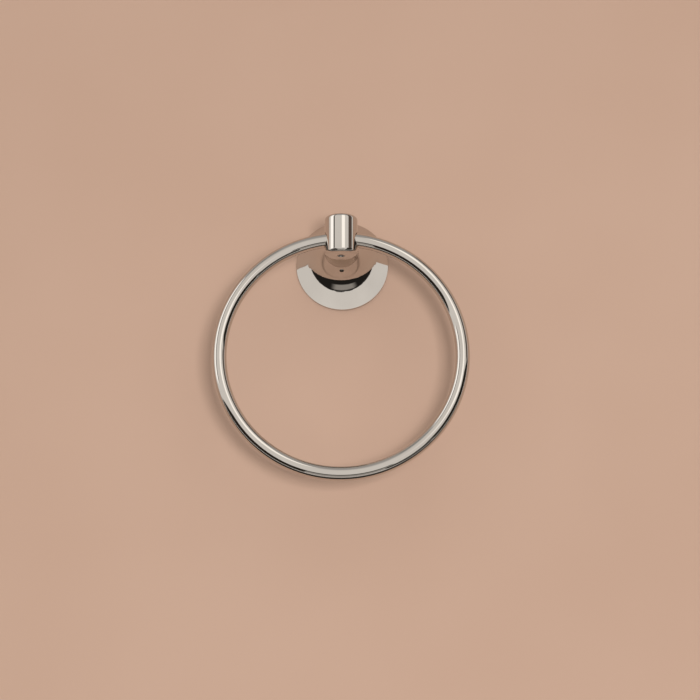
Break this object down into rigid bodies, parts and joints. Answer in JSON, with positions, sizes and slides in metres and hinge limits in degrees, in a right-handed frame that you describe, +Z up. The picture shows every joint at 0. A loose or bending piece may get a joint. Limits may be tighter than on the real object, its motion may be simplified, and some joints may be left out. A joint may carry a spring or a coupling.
{
  "type": "towel ring",
  "caption": "Wall-mounted chrome towel ring: flared round rose and neck, upright barrel head and a round tube ring that swings.",
  "frame": {"origin": "on the neck's axis at the wall plane, the back face of the rose and bracket", "axes": "+Y into the wall (the object stands out towards -Y), +Z up, +X to the right seen from the front"},
  "size_m": [0.17, 0.076, 0.199],
  "materials": {
    "polished_chrome": "polished",
    "bracket_steel": "zinc plated",
    "screw_steel": "plain"
  },
  "bodies": {
    "fixed_post": {"post": "polished_chrome", "head": "polished_chrome", "wall_bracket": "bracket_steel", "post_set_screw": "screw_steel", "ring_stop_screw": "screw_steel", "neck_screw": "screw_steel"},
    "swing_ring": {"ring": "polished_chrome"}
  },
  "joints": [
    {"name": "ring_swing", "type": "hinge", "parent": "fixed_post", "child": "swing_ring", "pos_m": [0, -0.065, -0.0025], "axis": [-1, 0, 0], "range_deg": [-21, 200]}
  ]
}
